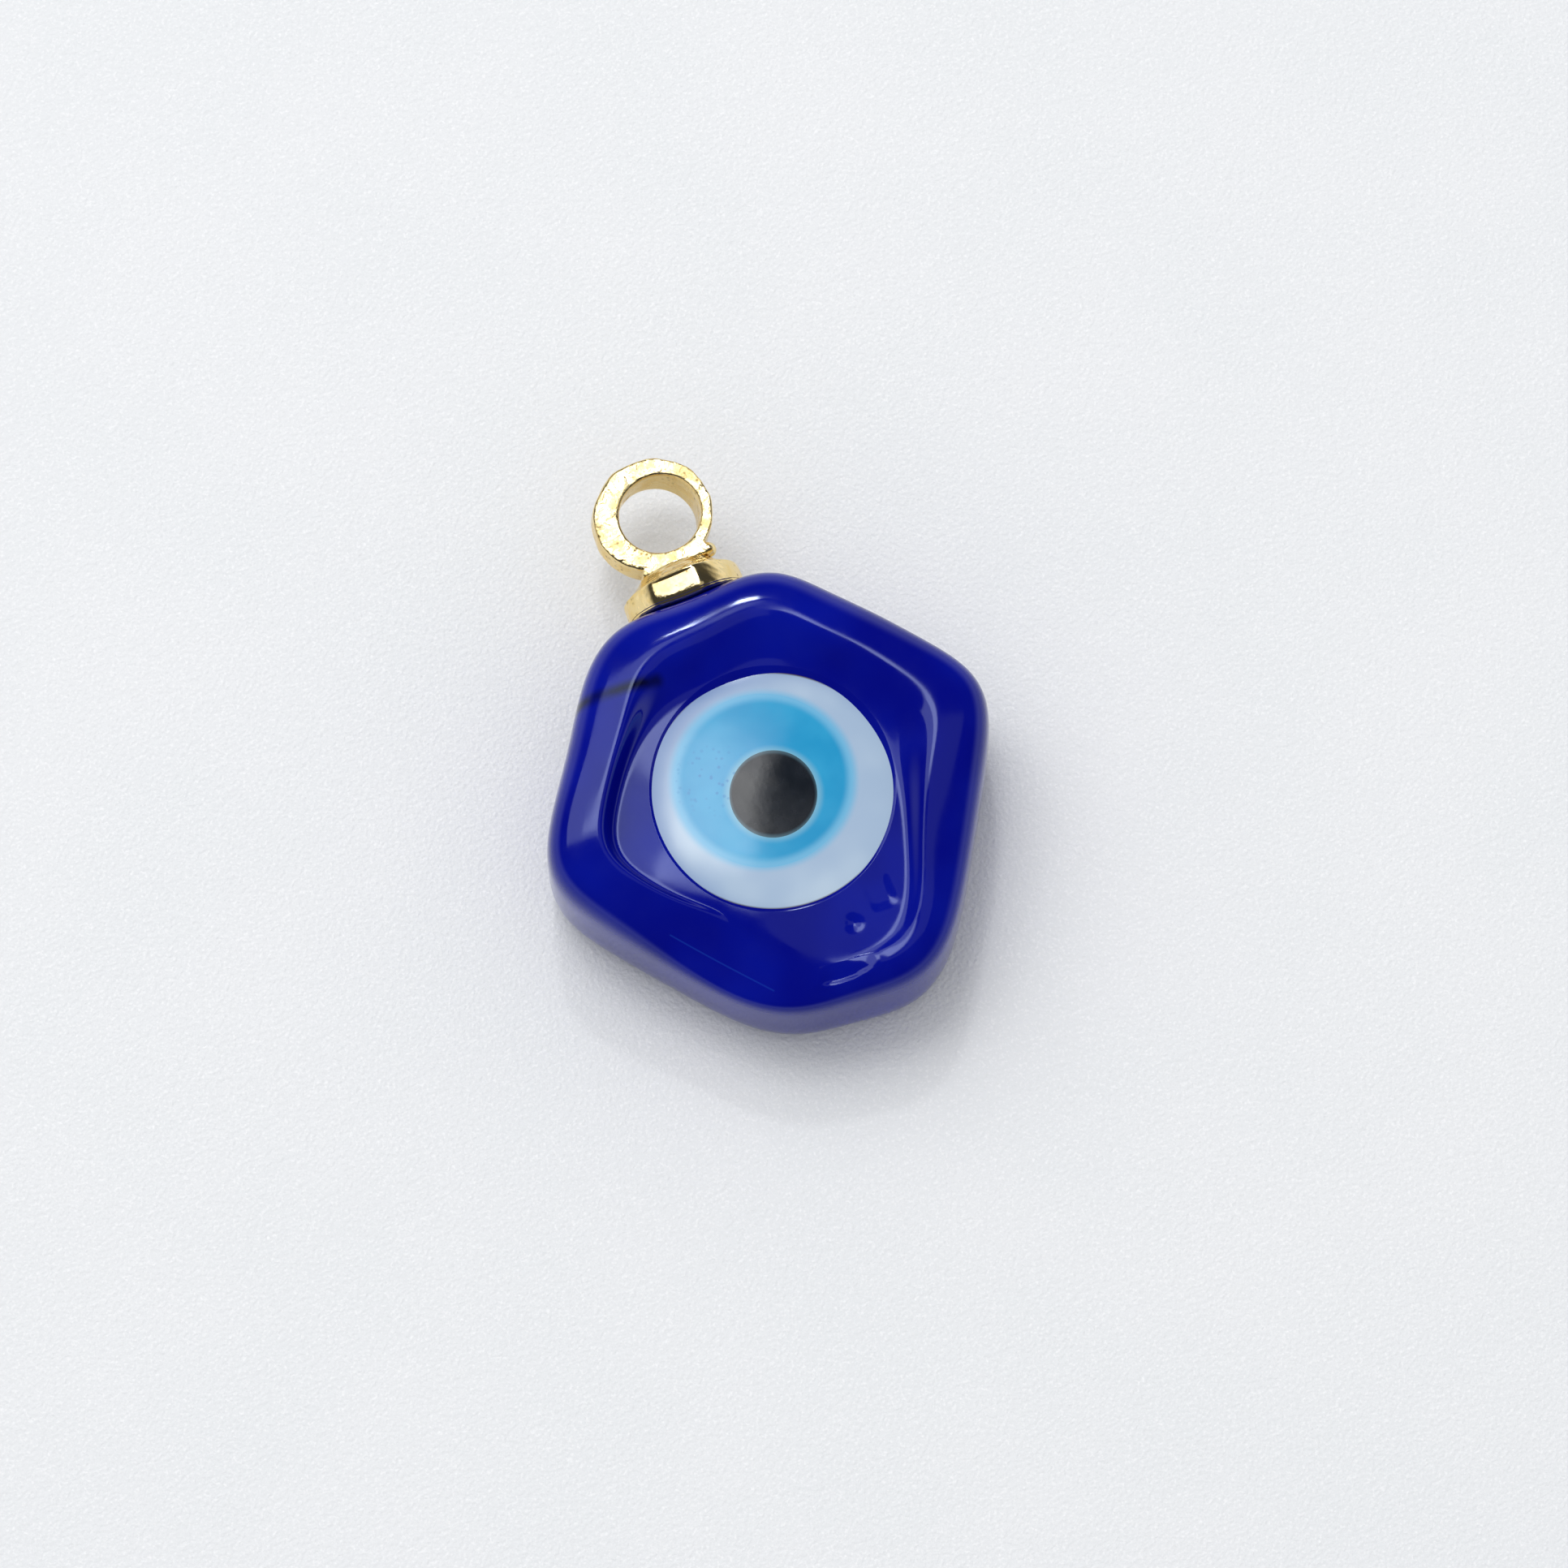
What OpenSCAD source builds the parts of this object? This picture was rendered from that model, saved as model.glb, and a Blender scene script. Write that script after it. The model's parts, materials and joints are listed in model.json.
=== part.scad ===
// Glass evil eye charm with a glued-in metal bail, millimetres.
// Origin: middle of the flat glass back. +Z out of the eye, +Y towards the loop, +X to the right.

/* [Glass slab] */
// Thickness of the glass slab at its rim
glass_t = 4; // [3.8:0.1:5]
// Inward reach of the rounded side wall
wall_reach = 0.95; // [0.7:0.05:1.1]
// Squareness of the side wall, 1 is a half ellipse and less is squarer
wall_power = 0.62; // [0.5:0.02:1]
// Sharpness of the six corners of the outline
corner_power = 8; // [7:0.5:12]
// Depth of the dish pressed into the face
dish_depth = 0.55; // [0.3:0.05:0.7]
// Radius of the level dish floor
dish_r = 3.3; // [3.2:0.05:3.5]

/* [Eye drops] */
// Radius of the white drop
white_r = 2.97; // [2.7:0.01:3.05]
// Depth that the white drop sinks into the glass
white_sink = 0.85; // [0.7:0.05:0.9]
// Radius of the light blue drop
iris_r = 2.14; // [1.9:0.01:2.3]
// Depth that the light blue drop sinks into the white one
iris_sink = 0.55; // [0.4:0.05:0.6]
// Radius of the black drop
pupil_r = 1.07; // [0.8:0.01:1.2]
// Depth that the black drop sinks into the light blue one
pupil_sink = 0.3; // [0.2:0.05:0.35]
// Height that the pressed drops stand proud of the dish floor
eye_proud = 0.07; // [0.03:0.01:0.15]

/* [Loop] */
// Radius of the loop's hole
loop_hole_r = 1; // [0.8:0.05:1.1]
// Outer radius of the loop
loop_r = 1.46; // [1.35:0.01:1.6]
// Thickness of the flat loop
loop_t = 1; // [0.8:0.05:1.2]
// Distance from the glass centre to the loop's hole
loop_y = 7.89; // [7.85:0.01:8.2]
// Twist of the loop about the bail's axis, in degrees
loop_twist = 7; // [0:1:12]

/* [Cup] */
// Radius of the cup's polished band at its widest
cup_r = 1.53; // [1.45:0.01:1.6]
// Height of the cup along the bail's axis
cup_h = 1; // [0.95:0.05:1.1]
// Radius of the flat seat on top of the cup
seat_r = 0.95; // [0.93:0.01:1.05]
// Height that the cup flares over, down from its seat to its band
flare_h = 0.5; // [0.4:0.05:0.6]
// Thickness of the film of braze between the cup and the loop
braze_film = 0.05; // [0.03:0.01:0.08]

/* [Peg and bond] */
// Radius of the peg over its ribs
peg_r = 0.4; // [0.35:0.01:0.42]
// Depth that the peg's ribs are cut to
rib_depth = 0.08; // [0.04:0.01:0.1]
// Number of ribs along the peg
rib_count = 6; // [4:1:8]
// Radius of the blind hole in the glass
socket_r = 0.52; // [0.5:0.01:0.56]
// Depth of the blind hole below the side of the glass
socket_depth = 3; // [2.6:0.1:3.1]

/* [Hidden] */
round_fn = 96;

// The outline: one row a side, [direction of the side, its distance, how far its middle dips in]
SIDES = [[40, 5.2, 0], [92, 5.87, 0.08], [147, 5.17, 0.016], [218, 5.02, 0], [270, 6.29, 0.08],
         [329, 5.14, 0]];
dip_width = 19;
outline_n = 72;
wall_n = 12;
dish_n = 6;

// The drops are laid a little off each other's centres
WHITE_AT = [0, -0.1];
IRIS_AT = [-0.14, 0.19];
PUPIL_AT = [-0.06, -0.23];
floor_z = glass_t - dish_depth;
eye_top = floor_z + eye_proud;
drop_n = 14;

// The bail's axis lies along Y at mid thickness
bail_z = glass_t / 2;
glass_edge_y = 5.36;
cup_rim_y = glass_edge_y + 0.06;
cup_top_y = cup_rim_y + cup_h;
foot_y = cup_top_y + braze_film;
hole_off = 0.12;
ring_rise = 0.04;
foot_w = 1.7;
shoulder_x = 0.95;
shoulder_y = loop_y - 1;
socket_end_y = glass_edge_y - socket_depth;
peg_end_y = socket_end_y + 0.15;
peg_hole_r = peg_r + 0.01;
belly = 0.05;
band_r = cup_r - belly;
rim_h = 0.2;
rim_curl = 0.14;
bell_r = 0.9;
bell_h = 0.55;
collar_h = 0.15;
collar_top_r = 0.6;
glue_cap_r = 1.2;
glue_cap_h = 0.7;
glue_cap_y = glass_edge_y - 0.3;
nub_r = 0.17;
nub_at = [1.02, 6.66, 0.12];

// Turns a shape drawn about Z so that it runs along the bail's axis, with its z as the row's y
module along_bail() {
    translate([0, 0, bail_z]) rotate([-90, 0, 0]) children();
}

// A smooth six-sided radius: the power sum of the sides, less the dip in the middle of each
function side_pull(a, s) = pow(max(0, cos(a - s[0])) / s[1], corner_power);
function turn(a) = a - 360 * round(a / 360);
function dip(a, s) = s[2] * exp(-pow(turn(a - s[0]) / dip_width, 2));
function total(v, i = 0) = i == len(v) ? 0 : v[i] + total(v, i + 1);
function outline_r(a) =
    pow(total([for (s = SIDES) side_pull(a, s)]), -1 / corner_power)
    * (1 - total([for (s = SIDES) dip(a, s)]));

// A level of the slab is [inward offset, height, share of the circle of the dish floor]
function soft(x) = sign(x) * pow(abs(x), wall_power);
function wall_level(t) = [wall_reach * (1 - soft(cos(t))), bail_z * (1 + soft(sin(t))), 0];
function dish_level(u) = [wall_reach, glass_t - dish_depth * (1 - cos(180 * u)) / 2, u];
LEVELS = concat(
    [for (i = [0:wall_n]) wall_level(-90 + 180 * i / wall_n)],
    [for (i = [1:dish_n]) dish_level(i / dish_n)]);
function level_ring(l) = [for (i = [0:outline_n - 1])
    let (a = 360 * i / outline_n,
         r = (outline_r(a) - l[0]) * (1 - l[2]) + dish_r * l[2])
    [r * cos(a), r * sin(a), l[1]]];

module slab() {
    points = [for (l = LEVELS) each level_ring(l)];
    last = (len(LEVELS) - 1) * outline_n;
    walls = [for (k = [0:len(LEVELS) - 2], i = [0:outline_n - 1])
        let (j = (i + 1) % outline_n, low = k * outline_n, up = low + outline_n)
        each [[low + i, up + i, up + j], [low + i, up + j, low + j]]];
    back = [[for (i = [0:outline_n - 1]) i]];
    face = [[for (i = [outline_n - 1:-1:0]) last + i]];
    polyhedron(points, concat(back, walls, face), convexity = 6);
}

// A drop of hot glass: a round cap below the dish floor and a short straight side above it
module drop(at, r, sink, top) {
    bend_r = (r * r + sink * sink) / (2 * sink);
    span = asin(r / bend_r);
    cap = [for (i = [0:drop_n])
        let (a = span * i / drop_n)
        [bend_r * sin(a), bend_r * (1 - cos(a)) - sink]];
    translate([at[0], at[1], floor_z]) rotate_extrude($fn = round_fn)
        polygon(concat(cap, [[r, top - floor_z], [0, top - floor_z]]));
}

module socket() {
    along_bail() translate([0, 0, socket_end_y])
        cylinder(h = socket_depth + 1, r = socket_r, $fn = round_fn);
}

module glass_body() {
    color("mediumblue") difference() {
        slab();
        drop(WHITE_AT, white_r, white_sink, glass_t + 1);
        socket();
    }
}

module eye_white() {
    color("lightsteelblue") difference() {
        drop(WHITE_AT, white_r, white_sink, eye_top);
        drop(IRIS_AT, iris_r, iris_sink, glass_t + 1);
    }
}

module eye_iris() {
    color("deepskyblue") difference() {
        drop(IRIS_AT, iris_r, iris_sink, eye_top);
        drop(PUPIL_AT, pupil_r, pupil_sink, glass_t + 1);
    }
}

module eye_pupil() {
    color("darkslategray") drop(PUPIL_AT, pupil_r, pupil_sink, eye_top);
}

// The loop is a flat ring with its hole a little off centre, and a foot that stands on the cup
module loop_blank() {
    translate([0, loop_y + ring_rise, 0]) cylinder(h = loop_t, r = loop_r, center = true, $fn = round_fn);
    linear_extrude(loop_t, center = true)
        polygon([[-foot_w / 2, foot_y], [foot_w / 2, foot_y], [shoulder_x, shoulder_y],
                 [-shoulder_x, shoulder_y]]);
}

module bail_loop() {
    color("gold") translate([0, 0, bail_z]) rotate([0, loop_twist, 0]) difference() {
        loop_blank();
        translate([hole_off, loop_y, 0])
            cylinder(h = 2 * loop_t, r = loop_hole_r, center = true, $fn = round_fn);
    }
}

// The cup is a turned bell: it flares from the loop's seat to a polished band, and is hollow below
module bail_cup() {
    flare = [for (u = [0:0.2:1]) [seat_r + (band_r - seat_r) * pow(u, 1.25), cup_h - flare_h * u]];
    band_h = cup_h - flare_h - rim_h;
    band = [for (u = [0.2:0.2:0.8]) [band_r + belly * sin(180 * u), rim_h + band_h * (1 - u)]];
    rim = [for (t = [0:22.5:90]) [band_r - rim_curl * (1 - cos(t)), rim_h - rim_curl * sin(t)]];
    bell = [for (t = [90:-15:0]) [peg_hole_r + bell_r * sin(t), bell_h * cos(t)]];
    color("goldenrod") along_bail() translate([0, 0, cup_rim_y]) rotate_extrude($fn = round_fn)
        polygon(concat([[peg_hole_r, cup_h]], flare, band, rim, bell));
}

module bail_peg() {
    pitch = (glass_edge_y - peg_end_y) / rib_count;
    ribs = [for (i = [0:rib_count - 1], s = [[0, rib_depth], [0.35, 0], [0.65, 0]])
        [peg_r - s[1], peg_end_y + pitch * (i + s[0])]];
    shank = [[peg_r, glass_edge_y], [peg_r, cup_top_y], [0, cup_top_y]];
    color("gold") along_bail() rotate_extrude($fn = round_fn)
        polygon(concat([[0, peg_end_y]], ribs, shank));
}

module braze() {
    color("orange") difference() {
        union() {
            along_bail() translate([0, 0, cup_top_y])
                cylinder(h = collar_h, r1 = seat_r, r2 = collar_top_r, $fn = round_fn);
            translate([0, 0, bail_z]) translate(nub_at) sphere(r = nub_r, $fn = 48);
        }
        bail_loop();
    }
}

// Cured epoxy fills the socket around the peg and the hollow under the cup
module glue_bond() {
    color("khaki") difference() {
        union() {
            along_bail() translate([0, 0, socket_end_y])
                cylinder(h = socket_depth, r = socket_r, $fn = round_fn);
            along_bail() translate([0, 0, glue_cap_y])
                cylinder(h = glue_cap_h, r = glue_cap_r, $fn = round_fn);
        }
        slab_with_socket();
        bail_cup();
        bail_peg();
    }
}

module slab_with_socket() {
    difference() {
        slab();
        socket();
    }
}

glass_body();
eye_white();
eye_iris();
eye_pupil();
bail_loop();
bail_cup();
bail_peg();
braze();
glue_bond();
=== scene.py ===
# %% [markdown]
# # A glass eye charm with a glued-in gold bail
#
# The charm is a slab of opaque cobalt glass, pressed while it was hot, with three drops of glass
# laid one on the other for the eye. A ribbed peg is glued into its side and carries a cup and a
# flat ring. Every visible piece here is a surface worked out with numpy on a grid of two
# parameters, in millimetres, and handed to Blender in metres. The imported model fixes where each
# piece sits and how big it is.

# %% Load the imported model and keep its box
import json
import math

import bpy
import numpy as np
from mathutils import Matrix, Vector


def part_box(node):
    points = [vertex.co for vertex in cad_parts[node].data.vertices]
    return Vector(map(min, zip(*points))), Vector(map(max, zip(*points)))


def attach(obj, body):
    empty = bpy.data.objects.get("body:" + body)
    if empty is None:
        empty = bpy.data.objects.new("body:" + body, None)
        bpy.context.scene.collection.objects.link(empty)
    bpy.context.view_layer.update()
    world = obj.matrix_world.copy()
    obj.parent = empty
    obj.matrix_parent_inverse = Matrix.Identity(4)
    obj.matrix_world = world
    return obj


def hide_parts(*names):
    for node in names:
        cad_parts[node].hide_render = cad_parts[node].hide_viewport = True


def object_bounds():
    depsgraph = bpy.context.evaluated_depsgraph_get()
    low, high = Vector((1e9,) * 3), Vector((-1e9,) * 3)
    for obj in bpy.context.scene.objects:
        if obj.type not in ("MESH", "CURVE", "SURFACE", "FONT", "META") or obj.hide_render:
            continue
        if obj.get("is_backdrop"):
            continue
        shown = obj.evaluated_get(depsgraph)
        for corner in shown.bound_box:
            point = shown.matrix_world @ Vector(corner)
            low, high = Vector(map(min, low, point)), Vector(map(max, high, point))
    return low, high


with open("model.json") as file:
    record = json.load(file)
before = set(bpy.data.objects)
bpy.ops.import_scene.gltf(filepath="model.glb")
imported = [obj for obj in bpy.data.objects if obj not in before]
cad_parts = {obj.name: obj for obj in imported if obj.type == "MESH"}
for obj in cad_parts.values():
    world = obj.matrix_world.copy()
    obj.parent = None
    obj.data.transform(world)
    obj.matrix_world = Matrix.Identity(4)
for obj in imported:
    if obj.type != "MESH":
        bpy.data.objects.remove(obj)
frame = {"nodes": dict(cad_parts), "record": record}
cad_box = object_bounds()
MM = 0.001
mounts = {m["name"]: m for m in frame["record"]["mounts"]}


def box_mm(node):
    """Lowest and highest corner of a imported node, in millimetres."""
    low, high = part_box(node)
    return np.array(low) / MM, np.array(high) / MM


print("packed nodes:", sorted(frame["nodes"]))

# %% [markdown]
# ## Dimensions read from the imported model
#
# The slab's thickness, the bail's height and the ring's hole all come from the frame, so that the
# fine surfaces land on the plain ones. What the frame can't say is the shape of a curve, such as
# how square the side wall is. Those few numbers are the same ones that the design is drawn with.

# %% Read the driving sizes
glass_t = box_mm("glass_body")[1][2]
bail_z = glass_t / 2
hole_at = np.array(mounts["loop_hole"]["pos_m"]) / MM
hole_axis = np.array(mounts["loop_hole"]["axis"])
hole_r = mounts["loop_hole"]["dims"]["r_mm"]
loop_t = mounts["loop_hole"]["dims"]["length_mm"]
cup_low, cup_high = box_mm("bail_cup")
cup_r = cup_high[0]
cup_h = cup_high[1] - cup_low[1]
loop_top_y = box_mm("bail_loop")[1][1]
print("slab thickness", round(glass_t, 3), "hole radius", hole_r, "cup radius", round(cup_r, 3))

# %% [markdown]
# ## Turning a grid of points into a mesh
#
# All the pieces are grids whose columns close round on themselves. The rows either end in two
# single points, as on a globe, or close as well, as on a ring. One helper joins the grid with
# four-sided faces, turns them outwards by the sign of the enclosed volume, and smooths them.

# %% The grid helper
def grid_faces(index):
    """Quads between neighbouring rows of a table of vertex numbers whose columns wrap round."""
    wrap = np.hstack([index, index[:, :1]])
    corners = [wrap[:-1, :-1], wrap[:-1, 1:], wrap[1:, 1:], wrap[1:, :-1]]
    return np.stack(corners, -1).reshape(-1, 4)


def fan_faces(pole, row):
    """Triangles from one pole vertex to each step of the row beside it."""
    return np.stack([np.full(len(row), pole), np.roll(row, -1), row], -1)


def enclosed(points, faces):
    """Volume in cubic mm: a third of each face's area times its distance from the origin."""
    a, b, c = (points[faces[:, k]] for k in range(3))
    return float(np.einsum("ij,ij->i", a, np.cross(b, c)).sum() / 6)


def skin(name, rows, ring=False):
    """A closed mesh from rows[i, j], points in mm: j closes round, i runs pole to pole or round.

    Its attribute "steep" is 0 where the surface is level and 1 where it is upright.
    """
    n, m = rows.shape[:2]
    if ring:
        points = rows.reshape(-1, 3)
        index = np.arange(n * m).reshape(n, m)
        quads = grid_faces(np.vstack([index, index[:1]]))
        caps = np.zeros((0, 3), int)
    else:
        points = np.vstack([rows[0, :1], rows[1:-1].reshape(-1, 3), rows[-1, :1]])
        index = 1 + np.arange((n - 2) * m).reshape(n - 2, m)
        quads = grid_faces(index)
        caps = np.vstack([fan_faces(0, index[0]), fan_faces(len(points) - 1, index[-1])[:, ::-1]])
    halves = np.vstack([quads[:, :3], quads[:, [0, 2, 3]], caps])
    volume = enclosed(points, halves)
    if volume < 0:
        quads, caps = quads[:, ::-1], caps[:, ::-1]
    mesh = bpy.data.meshes.new(name)
    mesh.from_pydata((points * MM).tolist(), [], quads.tolist() + caps.tolist())
    mesh.shade_smooth()
    normals = np.empty(3 * len(mesh.vertices))
    mesh.vertex_normals.foreach_get("vector", normals)
    steep = mesh.attributes.new("steep", "FLOAT", "POINT")
    steep.data.foreach_set("value", 1 - np.abs(normals[2::3]))
    piece = bpy.data.objects.new(name, mesh)
    bpy.context.scene.collection.objects.link(piece)
    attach(piece, "root")
    print(name, len(halves), "triangles,", round(abs(volume), 2), "cubic mm")
    return piece


def turns(count):
    """Angles of the columns of a grid, once round, in radians."""
    return np.arange(count) * 2 * np.pi / count


def wave(x, y, seed, length):
    """A smooth random field between -1 and 1: six plane waves of about that wavelength in mm."""
    rng = np.random.default_rng(seed)
    angle = rng.uniform(0, 2 * np.pi, 6)
    phase = rng.uniform(0, 2 * np.pi, 6)
    k = 2 * np.pi / length * rng.uniform(0.7, 1.4, 6)
    steps = [np.sin(k[i] * (x * np.cos(angle[i]) + y * np.sin(angle[i])) + phase[i]) for i in range(6)]
    return sum(steps) / 6


# %% [markdown]
# ## The pressed glass slab
#
# On the real charm the outline is a six-sided blob that a press left in hot glass. It could be a
# subdivided hexagon, but then each corner has to be coaxed by hand. A power sum of six straight
# sides gives the same soft hexagon in one line: each side pulls the radius in, a high power lets
# only the nearest side count, and the corners come out round.

# %% The outline of the slab
# Each side: direction in degrees, distance in mm, how far its middle dips in
SIDES = np.array([[40, 5.2, 0], [92, 5.87, 0.08], [147, 5.17, 0.016], [218, 5.02, 0],
                  [270, 6.29, 0.08], [329, 5.14, 0]])
CORNER_POWER = 8
DIP_WIDTH = math.radians(19)
# Each bulge: direction in degrees, height in mm, half-width in degrees
BULGES = np.array([[66, 0.14, 11], [38, 0.09, 22], [10, 0.05, 12]])


def angle_gap(a, b):
    """The shortest turn from b to a, in radians."""
    return (a - b + np.pi) % (2 * np.pi) - np.pi


def outline(angle):
    """Radius = (sum of (cos(angle - side) / distance)^p)^(-1/p), less bell dips, plus bell bulges."""
    side = np.radians(SIDES[:, 0])[:, None]
    pull = np.maximum(0, np.cos(angle - side)) / SIDES[:, 1:2]
    dips = SIDES[:, 2:] * np.exp(-(angle_gap(angle, side) / DIP_WIDTH) ** 2)
    way, size, half = (column[:, None] for column in BULGES.T)
    bulges = size * np.exp(-(angle_gap(angle, np.radians(way)) / np.radians(half)) ** 2)
    return (pull ** CORNER_POWER).sum(0) ** (-1 / CORNER_POWER) * (1 - dips.sum(0)) + bulges.sum(0)


print("outline radius", outline(turns(720)).min().round(2), "to", outline(turns(720)).max().round(2))

# %% [markdown]
# The face has a rim and a dish. Going inwards from the outline, the wall turns over into the rim,
# the rim climbs to a crest, and the crest falls into the dish on a slope. The press was not held
# square, so the crest's place, the length of the slope and the height of the rim all change round
# the charm. Each is a short list of values at twelve compass points, joined by a smooth curve.

# %% How the rim changes round the charm
def around(values):
    """A smooth closed curve through evenly spaced values: their discrete Fourier series."""
    terms = np.fft.rfft(values) / len(values)

    def at(angle):
        total = np.full(np.shape(angle), terms[0].real)
        for k in range(1, len(terms)):
            share = 1 if k == len(terms) - 1 else 2
            total = total + share * (terms[k] * np.exp(1j * k * angle)).real
        return total

    return at


# Values towards +X, then every 30 degrees anticlockwise; the slope's run is a share of the way in
crest_in = around([1.6, 1.3, 1.28, 1.28, 1.6, 1.36, 1.5, 1.4, 1.58, 0.85, 1.05, 1.38])
slope_run = around([0.8, 0.8, 0.75, 0.85, 0.5, 0.2, 0.12, 0.14, 0.2, 0.2, 0.2, 0.5])
rim_drop = around([0.03, 0.0, 0.0, 0.0, 0.0, 0.02, 0.1, 0.38, 0.62, 0.64, 0.42, 0.2])
outer_tilt = around([0.18, 0.26, 0.3, 0.26, 0.2, 0.14, 0.1, 0.24, 0.32, 0.3, 0.3, 0.24])
floor_tilt = around([0.05, 0.05, 0.05, 0.04, 0.05, 0.09, 0.12, 0.06, 0.06, 0.09, 0.07, 0.05])


def ramp(x, soft):
    """0 before x = 0, 1 after x = 1, straight between, with both corners rounded over soft."""
    return soft * (np.logaddexp(0, x / soft) - np.logaddexp(0, (x - 1) / soft))


# %% [markdown]
# Hot glass also keeps its accidents: a burst bubble by the lower edge, a dent where a tool
# touched, and slow waves all over, which are what make its reflections wander.

# %% The height of the face
DISH_DEPTH = 0.55
CREST_SOFT = 0.16
SLOPE_SOFT = 0.26
DISH_R = 3.01
EYE_AT = np.array([0.06, -0.08])
EYE_STRETCH = 0.04
EYE_LEAN = math.radians(68)
WALL_REACH = 0.95
WALL_POWER = 0.52
WAVE_HEIGHT = 0.008
WAVE_LENGTH = 3.0
# The burst bubble, the tool's dent and the shallow patch: centre, half-sizes and depth in mm
PIT_AT, PIT_HALF, PIT_DEPTH, LIP_HEIGHT = (0.1, -5.02), (0.74, 0.2), 0.06, 0.03
DENT_AT, DENT_R, DENT_DEPTH = (0.62, -3.94), 0.2, 0.05
PATCH_AT, PATCH_HALF, PATCH_DEPTH = (1.5, -3.44), (0.32, 0.42), 0.03


def accidents(x, y):
    """Depth in mm: a bell to the sixth power less a ring-shaped lip, a round bell, a squarish bell."""
    across = np.hypot((x - PIT_AT[0]) / PIT_HALF[0], (y - PIT_AT[1]) / PIT_HALF[1])
    pit = PIT_DEPTH * np.exp(-across ** 6) - LIP_HEIGHT * np.exp(-((across - 1.05) / 0.2) ** 2)
    dent = DENT_DEPTH * np.exp(-((x - DENT_AT[0]) ** 2 + (y - DENT_AT[1]) ** 2) / DENT_R ** 2)
    side = ((x - PATCH_AT[0]) / PATCH_HALF[0]) ** 4 + ((y - PATCH_AT[1]) / PATCH_HALF[1]) ** 4
    return pit + dent + PATCH_DEPTH * np.exp(-side)


def eye_oval(angle):
    """The eye is drawn out a little along one diameter: 1 + stretch cos^2(angle - lean)."""
    return 1 + EYE_STRETCH * np.cos(angle - EYE_LEAN) ** 2


def face_sag(angle, inward, x, y):
    """How far the face lies below the full slab.

    Outside the crest: the rim's drop plus its outer tilt. Inside: the dish depth plus a floor that
    climbs to the eye. A ramp over the slope's run blends them; waves and accidents are added. The
    run is a share of the way from the crest to the eye, so the dish is at full depth by the eye.
    """
    crest = crest_in(angle)
    tilt = outer_tilt(angle) * CREST_SOFT * np.logaddexp(0, (crest - inward) / CREST_SOFT)
    to_eye = np.hypot(x - EYE_AT[0], y - EYE_AT[1]) - DISH_R
    floor = DISH_DEPTH + floor_tilt(angle) * np.clip(to_eye, 0, 2)
    way_in = np.maximum(to_eye + inward - crest, 0.3)
    inside = ramp((inward - crest) / (slope_run(angle) * way_in), SLOPE_SOFT)
    level = rim_drop(angle) * (1 - inside) + floor * inside
    return tilt + level + WAVE_HEIGHT * wave(x, y, 3, WAVE_LENGTH) + accidents(x, y)


# %% Lay out the rows of the slab and build it
AROUND = 640
WALL_ROWS = 46
FACE_ROWS = 96
SEAT_ROWS = 10
SEAT_DEPTH = 0.85


def soft_sign(x):
    """sign(x) |x|^power: with a power below 1 it squares up a circle."""
    return np.sign(x) * np.abs(x) ** WALL_POWER


def slab_rows():
    """Wall: superellipse quarter turns. Face: straight lines from the rim to the eye's circle."""
    angle = turns(AROUND)[None, :]
    radius = outline(turns(AROUND))[None, :]
    turn = np.linspace(-np.pi / 2, np.pi / 2, WALL_ROWS)[:, None]
    wall_in = WALL_REACH * (1 - soft_sign(np.cos(turn))) + 0 * angle
    wall_z = bail_z * (1 + soft_sign(np.sin(turn))) + 0 * angle
    share = np.linspace(0, 1, FACE_ROWS + 1)[1:, None]
    edge_x = (radius - WALL_REACH) * np.cos(angle)
    edge_y = (radius - WALL_REACH) * np.sin(angle)
    eye_x = EYE_AT[0] + DISH_R * eye_oval(angle) * np.cos(angle)
    eye_y = EYE_AT[1] + DISH_R * eye_oval(angle) * np.sin(angle)
    face_x = edge_x + (eye_x - edge_x) * share
    face_y = edge_y + (eye_y - edge_y) * share
    x = np.vstack([(radius - wall_in) * np.cos(angle), face_x])
    y = np.vstack([(radius - wall_in) * np.sin(angle), face_y])
    z = np.vstack([wall_z, np.full_like(face_x, glass_t)])
    polar = np.arctan2(y, x)
    inward = outline(polar.ravel()).reshape(polar.shape) - np.hypot(x, y)
    upper = np.clip(z / glass_t, 0, 1) ** 4  # the back stays flat: only the upper side sags
    z = z - upper * face_sag(polar, np.maximum(inward, 0), x, y)
    return np.stack([x, y, z], -1)


def close_rows(rows, first, last):
    """Adds a pole point before and after the rows."""
    pole = np.ones((1, rows.shape[1], 3))
    return np.vstack([pole * first, rows, pole * last])


slab = slab_rows()
under_eye = np.array([EYE_AT[0], EYE_AT[1], glass_t - DISH_DEPTH - SEAT_DEPTH])
share = np.linspace(0, 1, SEAT_ROWS + 2)[1:-1, None, None]
seat = slab[-1:] + (under_eye - slab[-1:]) * share
seat[..., 2] = slab[-1, :, 2] - SEAT_DEPTH * (1 - (1 - share[..., 0]) ** 2)
glass = skin("charm_glass", close_rows(np.vstack([slab, seat]), [0, 0, 0], under_eye))
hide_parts("glass_body")

# %% [markdown]
# ## The three drops of the eye
#
# Each drop was laid molten on the one before and pressed. As pieces they are lenses: a bowl
# underneath, a faintly domed top, and in the first two a seat for the next drop. They could be
# three flattened spheres, but those would cut through one another. One function makes all three
# as rings of a globe that dips back in at the top, so each sits in the seat of the one before.

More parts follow.
